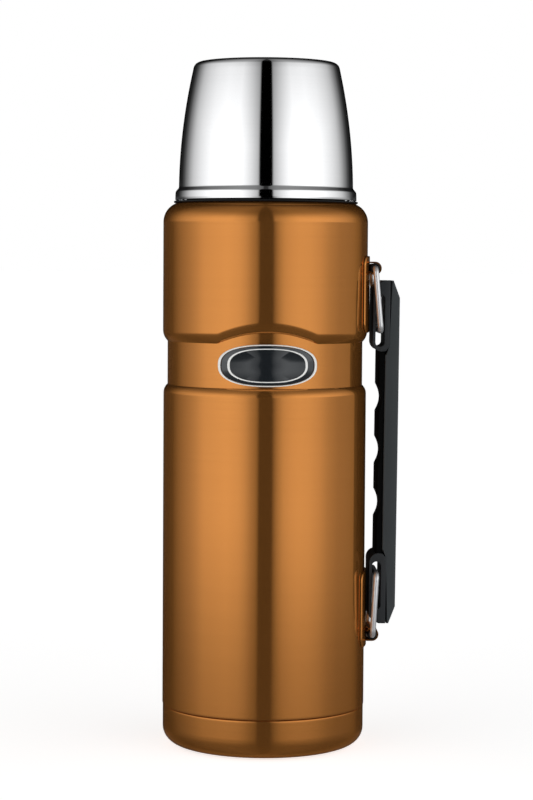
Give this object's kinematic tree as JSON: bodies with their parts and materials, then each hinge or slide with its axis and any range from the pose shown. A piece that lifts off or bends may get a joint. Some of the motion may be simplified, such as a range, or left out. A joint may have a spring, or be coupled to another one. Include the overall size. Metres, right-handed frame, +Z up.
{
  "type": "vacuum flask",
  "caption": "Tall steel vacuum flask with a screw-on cup, a screw stopper and a side handle on two wire bails that folds out for carrying.",
  "frame": {"origin": "centre of the flat face that the flask stands on", "axes": "+Z up along the bottle's axis, +X towards the handle, -Y towards the front with the badge"},
  "size_m": [0.1066, 0.0926, 0.31],
  "materials": {
    "copper_paint": "metallic copper lacquer, glossy",
    "polished_steel": "mirror-polished stainless steel",
    "brushed_steel": "satin stainless steel",
    "copper_foil": "bare copper foil",
    "black_plastic": "black, fine moulded texture",
    "grey_plastic": "dark grey, satin",
    "silicone": "pale silicone",
    "foam": "rigid foam",
    "getter_metal": "sintered dark grey metal",
    "badge_face": "dark grey enamel",
    "badge_border": "off-white, raised"
  },
  "bodies": {
    "bottle": {"outer_casing": "copper_paint", "casing_bottom": "brushed_steel", "base_cap": "copper_paint", "evacuation_seal": "getter_metal", "inner_flask": "brushed_steel", "inner_bottom": "brushed_steel", "heat_shield": "copper_foil", "getter": "getter_metal", "getter_clip": "brushed_steel", "badge_plate": "badge_face", "badge_rim": "badge_border", "top_bracket": "copper_paint", "bottom_bracket": "copper_paint"},
    "top_bail": {"top_bail": "polished_steel"},
    "bottom_bail": {"bottom_bail": "polished_steel"},
    "handle": {"handle_grip": "black_plastic", "handle_cover": "grey_plastic"},
    "stopper_lift": {"stopper_gasket": "silicone"},
    "stopper": {"stopper_knob": "black_plastic", "stopper_plug": "black_plastic", "stopper_foam": "foam", "stopper_base": "black_plastic"},
    "cup_lift": {"cup_rim_ring": "black_plastic"},
    "cup": {"cup_shell": "polished_steel", "cup_liner": "black_plastic"}
  },
  "joints": [
    {"name": "handle_fold", "type": "hinge", "parent": "bottle", "child": "top_bail", "pos_m": [0.0491, 0, 0.217], "axis": [0, -1, 0], "range_deg": [0, 38]},
    {"name": "handle_level", "type": "hinge", "parent": "top_bail", "child": "handle", "pos_m": [0.05165, 0, 0.189], "axis": [0, 1, 0], "range_deg": [0, 38]},
    {"name": "bottom_bail_fold", "type": "hinge", "parent": "bottle", "child": "bottom_bail", "pos_m": [0.0491, 0, 0.051], "axis": [0, 1, 0], "range_deg": [0, 38]},
    {"name": "stopper_rise", "type": "slide", "parent": "bottle", "child": "stopper_lift", "axis": [0, 0, 1], "range_m": [0, 0.00601]},
    {"name": "stopper_turn", "type": "hinge", "parent": "stopper_lift", "child": "stopper", "pos_m": [0, 0, 0.27], "axis": [0, 0, 1], "range_deg": [0, 540]},
    {"name": "cup_rise", "type": "slide", "parent": "bottle", "child": "cup_lift", "axis": [0, 0, 1], "range_m": [0, 0.04501]},
    {"name": "cup_turn", "type": "hinge", "parent": "cup_lift", "child": "cup", "pos_m": [0, 0, 0.25], "axis": [0, 0, 1], "range_deg": [0, 3240]}
  ],
  "couplings": [
    {"joint": "handle_level", "follows": "handle_fold", "ratio": 1},
    {"joint": "bottom_bail_fold", "follows": "handle_fold", "ratio": 1},
    {"joint": "stopper_rise", "follows": "stopper_turn", "m_per_rad": 0.00063662},
    {"joint": "cup_rise", "follows": "cup_turn", "m_per_rad": 0.00079577}
  ]
}
